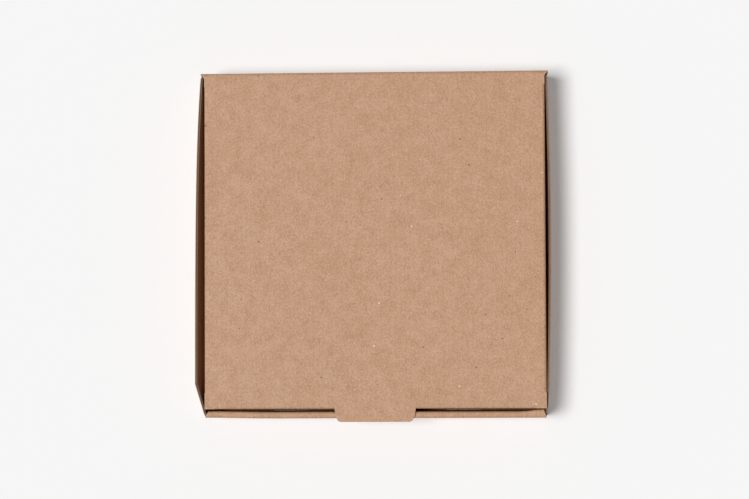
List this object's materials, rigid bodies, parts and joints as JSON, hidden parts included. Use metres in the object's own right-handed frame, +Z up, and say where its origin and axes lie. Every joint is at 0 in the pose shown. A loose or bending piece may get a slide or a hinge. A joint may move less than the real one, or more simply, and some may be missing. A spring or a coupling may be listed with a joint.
{
  "type": "pizza box",
  "caption": "Plain kraft corrugated pizza box folded from one blank: a shallow tray with a roll-over front wall and a hinged lid whose front tab laps over it.",
  "frame": {"origin": "middle of the base's underside", "axes": "+Z up out of the base, +Y to the back wall that the lid hinges on, -Y to the front, where the lid's tab laps over the wall"},
  "size_m": [0.2511, 0.2461, 0.04],
  "materials": {
    "kraft_board": "matt, uncoated brown kraft liner"
  },
  "bodies": {
    "tray": {"tray": "kraft_board"},
    "lid": {"lid": "kraft_board"}
  },
  "joints": [
    {"name": "lid_hinge", "type": "hinge", "parent": "tray", "child": "lid", "pos_m": [0, 0.12076, 0.03896], "axis": [-1, 0, 0], "range_deg": [0, 180]}
  ]
}
